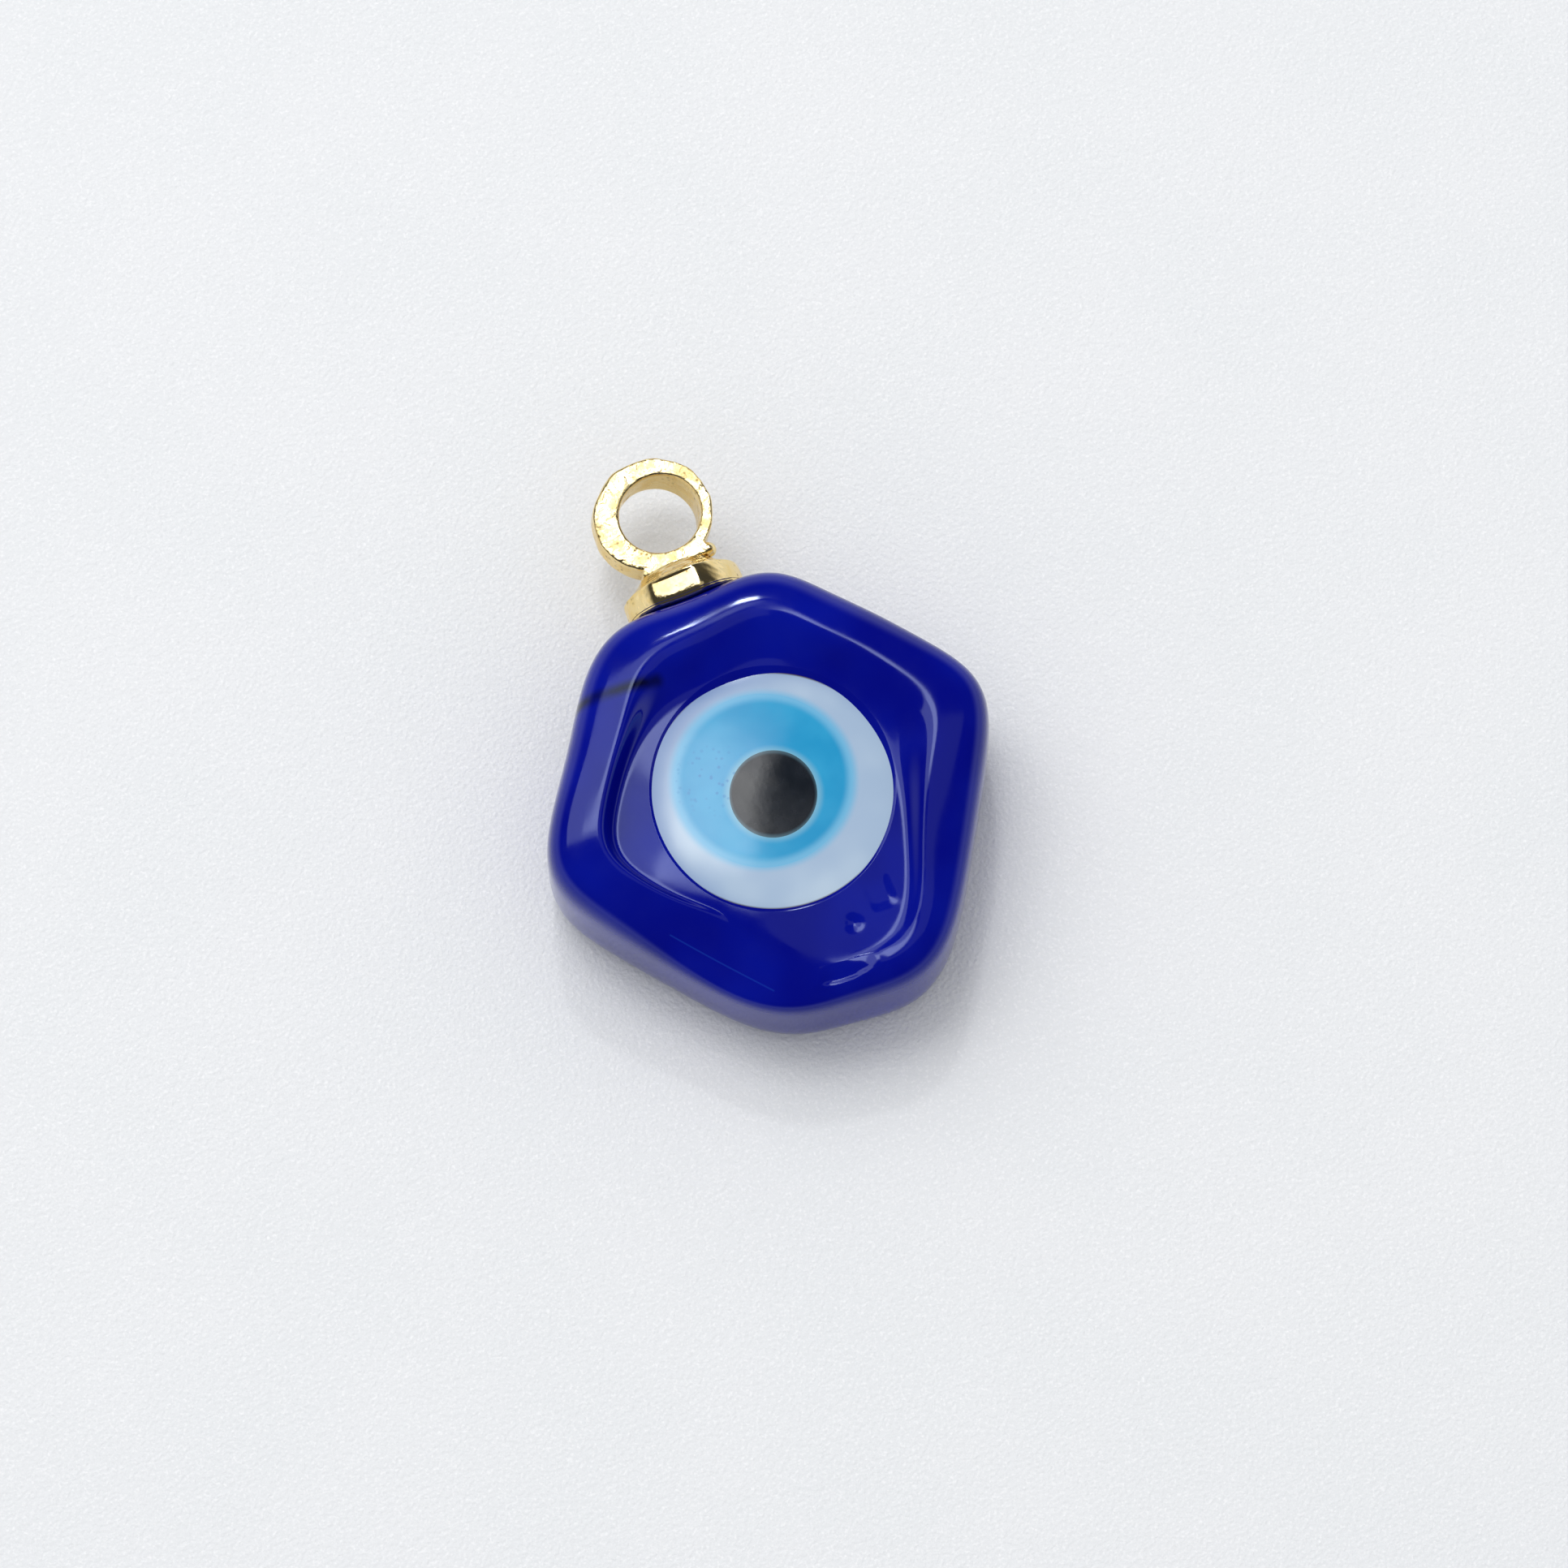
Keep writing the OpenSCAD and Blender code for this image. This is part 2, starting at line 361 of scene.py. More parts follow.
# %% The drops
DROPS = {
    "eye_white": {"at": (0.06, -0.08), "r": 2.95, "sink": 0.8, "slot": "white_glass", "wobble": 0.012},
    "eye_iris": {"at": (-0.08, 0.19), "r": 2.14, "sink": 0.5, "slot": "light_blue_glass", "wobble": 0.01},
    "eye_pupil": {"at": (0.01, -0.25), "r": 1.07, "sink": 0.28, "slot": "black_glass", "wobble": 0.008},
}
ROUND_DROP = 192
BOWL_ROWS = 14
DOME = 0.15
EDGE_DIVE = 0.008
EYE_SINK = 0.03
EYE_WAVES = 0.008


def drop_edge(spec, angle, seed):
    """The drop's rim: a circle with slow two-, three- and five-fold wobbles."""
    rng = np.random.default_rng(seed)
    lobes = sum(rng.uniform(0.4, 1) * np.sin(k * angle + rng.uniform(0, 6)) / k for k in (2, 3, 5))
    radius = spec["r"] * (eye_oval(angle) + spec["wobble"] * lobes)
    x = spec["at"][0] + radius * np.cos(angle)
    y = spec["at"][1] + radius * np.sin(angle)
    return np.stack([x, y], -1)


def eye_height(x, y):
    """The pressed top of the eye: a low dome that dives at the white drop's edge, with faint waves."""
    far = np.hypot(x - EYE_AT[0], y - EYE_AT[1]) / DROPS["eye_white"]["r"]
    dome = DOME * (1 - far ** 2) + EDGE_DIVE * (1 - far ** 14)
    return glass_t - DISH_DEPTH - EYE_SINK + dome + EYE_WAVES * wave(x, y, 8, 2.2)


def bowl(spec, edge, share):
    """The underside: from the centre (share 0) to the rim (share 1), deepest in the middle."""
    centre = np.array(spec["at"])
    flat = centre + (edge - centre) * share[:, None, None]
    top = eye_height(edge[:, 0], edge[:, 1])[None, :]
    z = top - spec["sink"] * (1 - share[:, None] ** 2)
    return np.dstack([flat, z])


def drop_rows(spec, seed, inner=None, inner_seed=0):
    """Bowl, then the top inwards to the inner drop's rim or the centre, then the inner bowl.

    Two rows close together at each end of the top keep its edges crisp.
    """
    angle = turns(ROUND_DROP)
    edge = drop_edge(spec, angle, seed)
    under = bowl(spec, edge, np.linspace(0, 1, BOWL_ROWS))
    goal = np.array(spec["at"]) + 0 * edge if inner is None else drop_edge(inner, angle, inner_seed)
    share = np.concatenate([[0, 0.004], np.linspace(0.03, 0.97, 38), [0.996, 1]])[:, None, None]
    flat = edge + (goal - edge) * share
    top = np.dstack([flat, eye_height(flat[..., 0], flat[..., 1])])
    if inner is None:
        return np.vstack([under, top])
    seat = bowl(inner, goal, np.linspace(1, 0, BOWL_ROWS))
    return np.vstack([under, top, seat])


drop_list = list(DROPS.items())
for number, (name, spec) in enumerate(drop_list):
    following = drop_list[number + 1][1] if number < 2 else None
    rows = drop_rows(spec, 20 + number, following, 21 + number)
    piece = skin(name + "_drop", rows)
    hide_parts(name)
    DROPS[name]["piece"] = piece

# %% [markdown]
# ## The ring of the bail
#
# The ring is a flat cast washer with its hole bored off centre, and its lower edge is squared
# off into the foot that stands on the cup. Seen from the hole, the outer edge is one radius
# function, so the ring is a rounded rectangle carried round the hole. The cast faces are lumpy
# and pitted, and the outer edge was trimmed in short flats.

# %% The ring
RING_AROUND = 420
RING_SECTION = 96
FACE_WEDGE = 0.2
FACE_IN = 0.03
RING_OFF = (-0.16, 0.06)
FOOT_HALF = 0.98
FOOT_SHIFT = 0.05
FOOT_REACH = 1.7
FOOT_SPREAD = 44
FOOT_Y = box_mm("bail_loop")[0][1]
ring_out_r = loop_top_y - (hole_at[1] + 0.04)
twist = math.atan2(hole_axis[0], hole_axis[2])


def ring_outer(angle):
    """From the hole's centre to the outer edge: an off-centre circle, or the foot where that is further."""
    along = RING_OFF[0] * np.cos(angle) + RING_OFF[1] * np.sin(angle)
    across = RING_OFF[0] ** 2 + RING_OFF[1] ** 2 - along ** 2
    circle = along + np.sqrt((ring_out_r + 0.03) ** 2 - across)
    down = np.maximum(1e-3, -np.sin(angle))
    foot = (hole_at[1] - FOOT_Y) / down
    inside = np.abs(foot * np.cos(angle) + FOOT_SHIFT) / FOOT_HALF
    foot = np.where(inside < 1, foot, 0)
    spread = np.exp(-((np.degrees(angle_gap(angle, -np.pi / 2))) / FOOT_SPREAD) ** 8)
    wanted = np.maximum(circle, np.minimum(foot, FOOT_REACH))
    return circle + (wanted - circle) * spread


def section(turn, power):
    """A rounded rectangle from -1 to 1: the sines and cosines of a turn raised to a low power."""
    u = np.sign(np.cos(turn)) * np.abs(np.cos(turn)) ** power
    v = np.sign(np.sin(turn)) * np.abs(np.sin(turn)) ** power
    return u, v


def ring_rows():
    """Section carried round the hole; cast lumps push the faces, short flats cut the outer edge."""
    angle = turns(RING_AROUND)[:, None]
    u, v = section(turns(RING_SECTION)[None, :], 0.22)
    outer = ring_outer(turns(RING_AROUND))[:, None]
    flats = 0.016 * np.cos(9 * angle + 0.6) + 0.02 * wave(2 * np.cos(angle), 2 * np.sin(angle), 9, 0.7)
    trimmed = np.clip(np.sin(angle) + 0.6, 0, 1)
    outer = outer + (flats - 0.02) * trimmed
    radius = (hole_r + outer) / 2 + u * (outer - hole_r) / 2
    x, y = radius * np.cos(angle), radius * np.sin(angle)
    lumps = 0.012 * wave(x, y, 5, 0.7) + 0.008 * wave(x, y, 6, 0.26)
    wedge = FACE_WEDGE * x * (v > 0)
    z = v * (loop_t / 2 - FACE_IN + lumps + wedge)
    return np.stack([x, y, z], -1)


def to_loop(local):
    """Places points drawn flat about the hole: turns them by the loop's twist and moves them there."""
    c, s = math.cos(twist), math.sin(twist)
    x = local[..., 0] * c + local[..., 2] * s
    z = local[..., 2] * c - local[..., 0] * s
    return np.stack([x, local[..., 1], z], -1) + hole_at


ring = skin("bail_ring", to_loop(ring_rows()), ring=True)
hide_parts("bail_loop")

# %% [markdown]
# ## The cup
#
# The cup was turned on a lathe: a hollow flare under the ring's foot, then a polished band. A
# profile spun round the bail's axis is the natural way to make it. The band is kept bright and has one worn
# flat on top, and the waist is left rough where the ring was brazed on.

# %% The cup
CUP_AROUND = 360
SEAT_R = 0.96
FLARE_H = 0.4
BAND_TOP = 0.6
BAND_H = 0.46
LIP_H = 0.1
LIP_CURL = 0.14
BELL_LIP_R = 0.41
BELL_R = 0.9
BELL_H = 0.55
BAND_ROUND = 0.035
BAND_R = cup_r - 0.035
FLAT_AT = math.radians(100)
FLAT_HALF = math.radians(23)
FLAT_EDGE = 0.012
SADDLE = 0.17


def along_bail(radius, y, angle):
    """Spins a profile of radius and y round the bail's axis."""
    x = radius * np.cos(angle)
    z = bail_z + radius * np.sin(angle)
    return np.stack([x, y + 0 * angle, z], -1)


def cup_profile():
    """Seat, hollow flare, polished band, turned-in lip and the bell inside, as radius and y."""
    flare = np.linspace(0, 1, 34)
    band = (1 - np.cos(np.linspace(0, np.pi, 32))) / 2
    lip = np.linspace(0, np.pi / 2, 12)
    bell = np.linspace(np.pi / 2, 0, 24)
    band_low = BAND_TOP - BAND_H
    parts = [(np.linspace(0.02, SEAT_R, 8), np.full(8, cup_h)),
             (SEAT_R + (BAND_R - SEAT_R) * flare ** 1.25, cup_h - FLARE_H * flare),
             (BAND_R + BAND_ROUND * np.sin(np.pi * band) ** 0.3, BAND_TOP - BAND_H * band),
             (BAND_R - LIP_CURL * (1 - np.cos(lip)), band_low - LIP_H * np.sin(lip)),
             (BELL_LIP_R + BELL_R * np.sin(bell), 0.02 + BELL_H * np.cos(bell))]
    radius, y = (np.concatenate(column) for column in zip(*parts))
    return radius, cup_low[1] + y


cup_radius, cup_y = cup_profile()
spin = turns(CUP_AROUND)[None, :]
height = (cup_y - cup_low[1])[:, None]
outside = (cup_radius[:, None] > 0.8) * 1.0  # not the pole rows of the seat and the bell
banded = np.clip((0.66 - height) / 0.1, 0, 1)
rough = 0.018 * wave(spin * 1.4, height * 9, 12, 0.9) * (1 - banded)
ripple = 0.008 * wave(spin * 1.5, height * 2, 14, 0.8)
off_flat = angle_gap(spin, FLAT_AT)
cut = 1 - math.cos(FLAT_HALF) / np.maximum(0.5, np.cos(off_flat))
wear_and_shade_patches = 1 - FLAT_EDGE * np.logaddexp(0, cut / FLAT_EDGE) * banded * outside
ends = np.clip((np.abs(off_flat) - 0.45) / 0.3, 0, 1)
dents = wave(cup_r * np.cos(spin) + height, cup_r * np.sin(spin) - height, 15, 0.3)
dented = 0.012 * dents * ends * banded
cup_skin = cup_radius[:, None] * wear_and_shade_patches + (rough + ripple + dented) * outside
saddle = SADDLE * np.sin(spin) ** 2 * np.clip(1 - height / 0.6, 0, 1) ** 0.5
cup_points = along_bail(cup_skin, cup_y[:, None] - saddle, spin)
bell_top = [0, cup_low[1] + 0.02 + BELL_H, bail_z]
cup_rows = close_rows(cup_points, [0, cup_high[1], bail_z], bell_top)
cup = skin("bail_cup_turned", cup_rows)
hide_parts("bail_cup")

# %% [markdown]
# ## The braze
#
# Filler metal ran between the ring's foot and the cup, and left a round bead at one end of the
# foot. The run is a collar that leans from the cup's seat up the foot, and the bead is a small
# sphere, both with a lumpy skin.

# %% The braze collar and its bead
braze_high = box_mm("braze")[1]


def lumpy(radius, angle, row, size, seed):
    """A radius with lumps of the given size in mm that run on round the collar."""
    return radius + size * wave(np.cos(angle) * 2 + row, np.sin(angle) * 2 - row, seed, 1.6)


COLLAR_H = 0.12
COLLAR_R, COLLAR_LEAN = 0.95, 0.45
BEAD_R, BEAD_Y, BEAD_LIFT = 0.2, 6.66, 0.12
collar_y = cup_high[1] - 0.02
rise = np.linspace(0, 1, 24)[:, None]
collar_r = lumpy(COLLAR_R - COLLAR_LEAN * rise ** 0.7, spin, rise * 2, 0.03, 31)
collar = along_bail(collar_r, collar_y + COLLAR_H * rise, spin)
collar_rows = close_rows(collar, [0, collar_y, bail_z], [0, collar_y + COLLAR_H, bail_z])
bead_at = np.array([braze_high[0] - BEAD_R, BEAD_Y, bail_z + BEAD_LIFT])
polar = np.linspace(0, np.pi, 40)[:, None]
bead_angle = turns(64)[None, :]
bead_r = BEAD_R * (0.97 + 0.03 * wave(polar * 2, np.cos(bead_angle), 33, 1.5))
bead = bead_at + np.stack([bead_r * np.sin(polar) * np.cos(bead_angle),
                           bead_r * np.sin(polar) * np.sin(bead_angle),
                           bead_r * np.cos(polar) + 0 * bead_angle], -1)
braze = skin("braze_collar", collar_rows)
nub = skin("braze_bead", bead)
for piece in (braze, nub):
    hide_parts("braze")

# %% [markdown]
# ## Building finishes from nodes
#
# Blender measures object coordinates in metres, so a pattern one millimetre wide needs a noise
# scale of about 1000. A few small helpers keep each material short: they add a node and fill its
# sockets, mix two colours by a mask, and do sums on numbers and vectors.

# %% Helpers for node trees
def add(tree, kind, settings=None, **sockets):
    """A new node; settings are its own properties, sockets take values or other nodes' outputs."""
    node = tree.nodes.new("ShaderNode" + kind)
    for key, value in (settings or {}).items():
        setattr(node, key, value)
    for key, value in sockets.items():
        fill(tree, node.inputs[key.replace("_", " ")], value)
    return node


def fill(tree, socket, value):
    """Links an output to the socket, or sets its value."""
    if isinstance(value, bpy.types.NodeSocket):
        tree.links.new(value, socket)
    else:
        socket.default_value = value


def mix(tree, mask, first, second):
    """The first colour where the mask is 0 and the second where it is 1."""
    node = tree.nodes.new("ShaderNodeMix")
    node.data_type = "RGBA"
    for socket, value in zip((node.inputs[0], node.inputs[6], node.inputs[7]), (mask, first, second)):
        fill(tree, socket, value if not isinstance(value, tuple) else (*value, 1.0)[:4])
    return node.outputs[2]


def math_node(tree, operation, first, second=0.0, third=0.0):
    """One sum on two or three numbers; MULTIPLY_ADD is first x second + third."""
    node = tree.nodes.new("ShaderNodeMath")
    node.operation = operation
    for socket, value in zip(node.inputs, (first, second, third)):
        fill(tree, socket, value)
    return node.outputs[0]


def vector_node(tree, operation, first, second=(0, 0, 0)):
    """One sum on two vectors; its outputs are a vector and, for dot product and length, a value."""
    node = add(tree, "VectorMath", {"operation": operation})
    fill(tree, node.inputs[0], first)
    fill(tree, node.inputs[1], second)
    return node


def new_group(name, inputs, outputs):
    """An empty shader node group with named float or vector inputs and named outputs."""
    tree = bpy.data.node_groups.new(name, "ShaderNodeTree")
    for label, kind, default in inputs:
        socket = tree.interface.new_socket(label, in_out="INPUT", socket_type="NodeSocket" + kind)
        socket.default_value = default
    for label, kind in outputs:
        tree.interface.new_socket(label, in_out="OUTPUT", socket_type="NodeSocket" + kind)
    start = tree.nodes.new("NodeGroupInput")
    end = tree.nodes.new("NodeGroupOutput")
    return tree, start.outputs, end.inputs


def place(tree, group, **sockets):
    """Puts a group into a material and fills its inputs."""
    node = tree.nodes.new("ShaderNodeGroup")
    node.node_tree = group
    for key, value in sockets.items():
        fill(tree, node.inputs[key.replace("_", " ")], value)
    return node.outputs[0]


# %% [markdown]
# Five effects serve all the finishes: a cloud of grain, a fine relief, scattered pits, a soft
# line between two points, and a soft-edged disc. Each is a group that puts out one mask or one
# normal, so that a material only says how much of it it wants.

# %% Shared effects
def grain_group():
    """Noise on object coordinates, stretched between Low and High to a mask from 0 to 1."""
    tree, given, out = new_group(
        "grain_mask", [("Scale", "Float", 1000.0), ("Detail", "Float", 3.0), ("Low", "Float", 0.4),
                       ("High", "Float", 0.6)], [("Mask", "Float")])
    coords = add(tree, "TexCoord").outputs["Object"]
    noise = add(tree, "TexNoise", Vector=coords, Scale=given["Scale"], Detail=given["Detail"])
    spread = add(tree, "MapRange", {"interpolation_type": "SMOOTHSTEP"}, Value=noise.outputs["Fac"],
                 From_Min=given["Low"], From_Max=given["High"])
    tree.links.new(spread.outputs["Result"], out["Mask"])
    return tree


def relief_group():
    """A bump from layered noise; Depth is in metres."""
    tree, given, out = new_group(
        "fine_relief", [("Scale", "Float", 2000.0), ("Depth", "Float", 1e-5)], [("Normal", "Vector")])
    coords = add(tree, "TexCoord").outputs["Object"]
    noise = add(tree, "TexNoise", Vector=coords, Scale=given["Scale"], Detail=4.0)
    bump = add(tree, "Bump", Height=noise.outputs["Fac"], Distance=given["Depth"])
    tree.links.new(bump.outputs["Normal"], out["Normal"])
    return tree


def pits_group():
    """Round pits where a cell's centre is near; Cover says how many of the cells have one."""
    tree, given, out = new_group(
        "pit_mask", [("Scale", "Float", 5000.0), ("Size", "Float", 0.25), ("Cover", "Float", 0.5)],
        [("Mask", "Float")])
    coords = add(tree, "TexCoord").outputs["Object"]
    cells = add(tree, "TexVoronoi", Vector=coords, Scale=given["Scale"])
    near = add(tree, "MapRange", {"interpolation_type": "SMOOTHSTEP"}, Value=cells.outputs["Distance"],
               From_Min=given["Size"], From_Max=math_node(tree, "MULTIPLY", given["Size"], 0.4))
    lot = add(tree, "SeparateColor", Color=cells.outputs["Color"]).outputs[0]
    chosen = math_node(tree, "LESS_THAN", lot, given["Cover"])
    tree.links.new(math_node(tree, "MULTIPLY", near.outputs["Result"], chosen), out["Mask"])
    return tree


def line_group():
    """1 on the segment From-To seen from above, fading to 0 at Width from it."""
    tree, given, out = new_group(
        "line_mask", [("From", "Vector", (0, 0, 0)), ("To", "Vector", (1, 0, 0)),
                      ("Width", "Float", 1e-4)], [("Mask", "Float")])
    coords = add(tree, "TexCoord").outputs["Object"]
    level = vector_node(tree, "MULTIPLY", coords, (1, 1, 0)).outputs[0]
    reach = vector_node(tree, "SUBTRACT", level, given["From"]).outputs[0]
    run = vector_node(tree, "SUBTRACT", given["To"], given["From"]).outputs[0]
    along = vector_node(tree, "DOT_PRODUCT", reach, run).outputs["Value"]
    length = vector_node(tree, "DOT_PRODUCT", run, run).outputs["Value"]
    share = add(tree, "Clamp", Value=math_node(tree, "DIVIDE", along, length)).outputs[0]
    nearest = vector_node(tree, "SCALE", run)
    fill(tree, nearest.inputs["Scale"], share)
    off = vector_node(tree, "SUBTRACT", reach, nearest.outputs[0]).outputs[0]
    far = vector_node(tree, "LENGTH", off).outputs["Value"]
    fade = add(tree, "MapRange", {"interpolation_type": "SMOOTHSTEP"}, Value=far,
               From_Min=given["Width"], From_Max=0.0)
    tree.links.new(fade.outputs["Result"], out["Mask"])
    return tree


def disc_group():
    """0 inside Radius about Centre, seen from above, rising to 1 over Soft outside it."""
    tree, given, out = new_group(
        "outside_disc", [("Centre", "Vector", (0, 0, 0)), ("Radius", "Float", 1e-3),
                         ("Soft", "Float", 1e-4)], [("Mask", "Float")])
    coords = add(tree, "TexCoord").outputs["Object"]
    offset = vector_node(tree, "SUBTRACT", coords, given["Centre"]).outputs[0]
    level = vector_node(tree, "MULTIPLY", offset, (1, 1, 0)).outputs[0]
    far = vector_node(tree, "LENGTH", level).outputs["Value"]
    outer = math_node(tree, "ADD", given["Radius"], given["Soft"])
    fade = add(tree, "MapRange", {"interpolation_type": "SMOOTHSTEP"}, Value=far,
               From_Min=given["Radius"], From_Max=outer)
    tree.links.new(fade.outputs["Result"], out["Mask"])
    return tree


GRAIN, RELIEF, PITS, LINE, DISC = grain_group(), relief_group(), pits_group(), line_group(), disc_group()
print("shared effects:", [g.name for g in (GRAIN, RELIEF, PITS, LINE, DISC)])


def material(name, **sockets):
    """An empty material with a Principled shader whose plain sockets are set directly."""
    made = bpy.data.materials.new(name)
    made.use_nodes = True
    tree = made.node_tree
    tree.nodes.clear()
    shader = add(tree, "BsdfPrincipled", **sockets)
    end = tree.nodes.new("ShaderNodeOutputMaterial")
    tree.links.new(shader.outputs[0], end.inputs[0])
    return made, tree, shader


def finish_with(piece, made):
    """Puts the material on the piece."""
    piece.data.materials.clear()
    piece.data.materials.append(made)


def metres(*point):
    """A point in mm as a Blender vector."""
    return tuple(value * MM for value in point)


# %% [markdown]
# ## Cobalt glass
#
# The glass is so full of cobalt that light doesn't pass, so it is an opaque shader under a hard
# clear gloss rather than a transmitting one. Its colour drifts slightly where the melt was
# folded, and one dark seam crosses the rim where two gathers of glass met.

# %% Cobalt glass
def cobalt():
    made, tree, shader = material("cobalt_glass", IOR=1.5, Specular_IOR_Level=0.5)
    shader.inputs["Specular Tint"].default_value = (0.6, 0.7, 1.0, 1.0)
    drift = place(tree, GRAIN, Scale=330.0, Detail=2.0, Low=0.35, High=0.68)
    colour = mix(tree, drift, (0.0004, 0.0018, 0.19), (0.001, 0.005, 0.25))
    seam = place(tree, LINE, From=metres(-3.75, 3.62, 0), To=metres(-1.6, 3.45, 0), Width=0.00026)
    broken = place(tree, GRAIN, Scale=900.0, Low=0.3, High=0.6)
    dark = math_node(tree, "MULTIPLY", seam, math_node(tree, "MULTIPLY_ADD", broken, 0.5, 0.5))
    colour = mix(tree, dark, colour, (0.0008, 0.001, 0.02))
    thread = place(tree, LINE, From=metres(-3.6, -2.6, 0), To=metres(-1.75, -4.75, 0), Width=0.00003)
    colour = mix(tree, math_node(tree, "MULTIPLY", thread, 0.3), colour, (0.01, 0.06, 0.42))
    fill(tree, shader.inputs["Base Color"], colour)
    haze = place(tree, GRAIN, Scale=1500.0, Detail=4.0, Low=0.3, High=0.8)
    fill(tree, shader.inputs["Roughness"], math_node(tree, "MULTIPLY_ADD", haze, 0.06, 0.07))
    fill(tree, shader.inputs["Normal"], place(tree, RELIEF, Scale=700.0, Depth=1.2e-6))
    return made


finish_with(glass, cobalt())

# %% [markdown]
# ## The eye's three glasses
#
# The drops were pressed against a cool tool, so their gloss is satin. Their colours bleed into
# one another over a quarter of a millimetre, so both sides of a seam fade to one shared colour.
# Painted shade darkens part of the white's edge, in the crease where it meets the cobalt, and the
# turquoise has a patch of pinholes.

# %% White, turquoise and black glass
BLEND = (0.15, 0.42, 0.64)


def at_drop(name):
    """The centre of a drop in metres."""
    return metres(*DROPS[name]["at"], 0)


def satin(tree, shader, base, spread, depth):
    """Roughness between base and base + spread, with a fine relief of the given depth in metres."""
    cloud = place(tree, GRAIN, Scale=1200.0, Detail=5.0, Low=0.3, High=0.75)
    fill(tree, shader.inputs["Roughness"], math_node(tree, "MULTIPLY_ADD", cloud, spread, base))
    fill(tree, shader.inputs["Normal"], place(tree, RELIEF, Scale=2500.0, Depth=depth))


def white_glass():
    made, tree, shader = material("white_glass", IOR=1.5, Specular_IOR_Level=0.4)
    cloud = place(tree, GRAIN, Scale=420.0, Detail=2.0, Low=0.38, High=0.66)
    colour = mix(tree, cloud, (0.34, 0.45, 0.60), (0.43, 0.54, 0.66))
    thin = place(tree, DISC, Centre=metres(0.3, -0.45, 0), Radius=0.0026, Soft=0.0009)
    colour = mix(tree, math_node(tree, "MULTIPLY", thin, 0.75), colour, (0.14, 0.22, 0.45))
    white = DROPS["eye_white"]["r"] * MM
    iris = DROPS["eye_iris"]["r"] * MM
    tint = place(tree, DISC, Centre=at_drop("eye_iris"), Radius=iris, Soft=0.00026)
    colour = mix(tree, tint, BLEND, colour)
    # Painted shade: a dark, broken line along part of the white's edge stands for the shade in the crease
    # against the cobalt.
    wear_and_shade_patches = place(tree, GRAIN, Scale=500.0, Low=0.3, High=0.5)
    seam = place(tree, DISC, Centre=metres(0.03, -0.11, 0), Radius=white * 1.004, Soft=0.00006)
    colour = mix(tree, math_node(tree, "MULTIPLY", seam, wear_and_shade_patches), colour, (0.045, 0.018, 0.02))
    fill(tree, shader.inputs["Base Color"], colour)
    satin(tree, shader, 0.1, 0.06, 1.2e-6)
    return made


def turquoise_glass():
    made, tree, shader = material("turquoise_glass", IOR=1.5, Specular_IOR_Level=0.4)
    iris = DROPS["eye_iris"]["r"] * MM
    pupil = DROPS["eye_pupil"]["r"] * MM
    cloud = place(tree, GRAIN, Scale=520.0, Detail=3.0, Low=0.35, High=0.7)
    colour = mix(tree, cloud, (0.016, 0.27, 0.52), (0.034, 0.33, 0.58))
    halo = place(tree, DISC, Centre=at_drop("eye_pupil"), Radius=pupil, Soft=0.00022)
    colour = mix(tree, halo, (0.16, 0.40, 0.56), colour)
    rim = place(tree, DISC, Centre=at_drop("eye_iris"), Radius=iris - 0.0002, Soft=0.00024)
    colour = mix(tree, rim, colour, BLEND)
    holes = place(tree, PITS, Scale=7000.0, Size=0.4, Cover=0.7)
    patch = place(tree, DISC, Centre=metres(-1.3, 0.7, 0), Radius=0.0003, Soft=0.0009)
    shown = math_node(tree, "MULTIPLY", holes, math_node(tree, "SUBTRACT", 1.0, patch))
    colour = mix(tree, math_node(tree, "MULTIPLY", shown, 0.7), colour, (0.012, 0.16, 0.42))
    fill(tree, shader.inputs["Base Color"], colour)
    satin(tree, shader, 0.1, 0.06, 1.5e-6)
    return made


def black_glass():
    made, tree, shader = material("black_glass", IOR=1.5, Specular_IOR_Level=0.4)
    pupil = DROPS["eye_pupil"]["r"] * MM
    cloud = place(tree, GRAIN, Scale=1100.0, Detail=4.0, Low=0.35, High=0.7)
    colour = mix(tree, cloud, (0.004, 0.007, 0.012), (0.010, 0.014, 0.022))
    rim = place(tree, DISC, Centre=at_drop("eye_pupil"), Radius=pupil - 0.00008, Soft=0.0001)
    colour = mix(tree, rim, colour, (0.045, 0.09, 0.12))
    fill(tree, shader.inputs["Base Color"], colour)
    satin(tree, shader, 0.11, 0.07, 2e-6)
    return made


for name, maker in (("eye_white", white_glass), ("eye_iris", turquoise_glass), ("eye_pupil", black_glass)):
    finish_with(DROPS[name]["piece"], maker())

# %% [markdown]
# ## Gold plate
#
# The bail is cast, then plated with pale gold. Cast skin stays pitted under the plate and a
# turned band shines. One function makes both: only the number of pits, the depth of the relief and
# the roughness change. Upright walls, which the attribute steep marks, get a deeper gold: this is
# painted shade.

# %% Gold plate for cast and turned pieces
PALE_GOLD = (0.96, 0.80, 0.44)
DEEP_GOLD = (0.88, 0.62, 0.20)


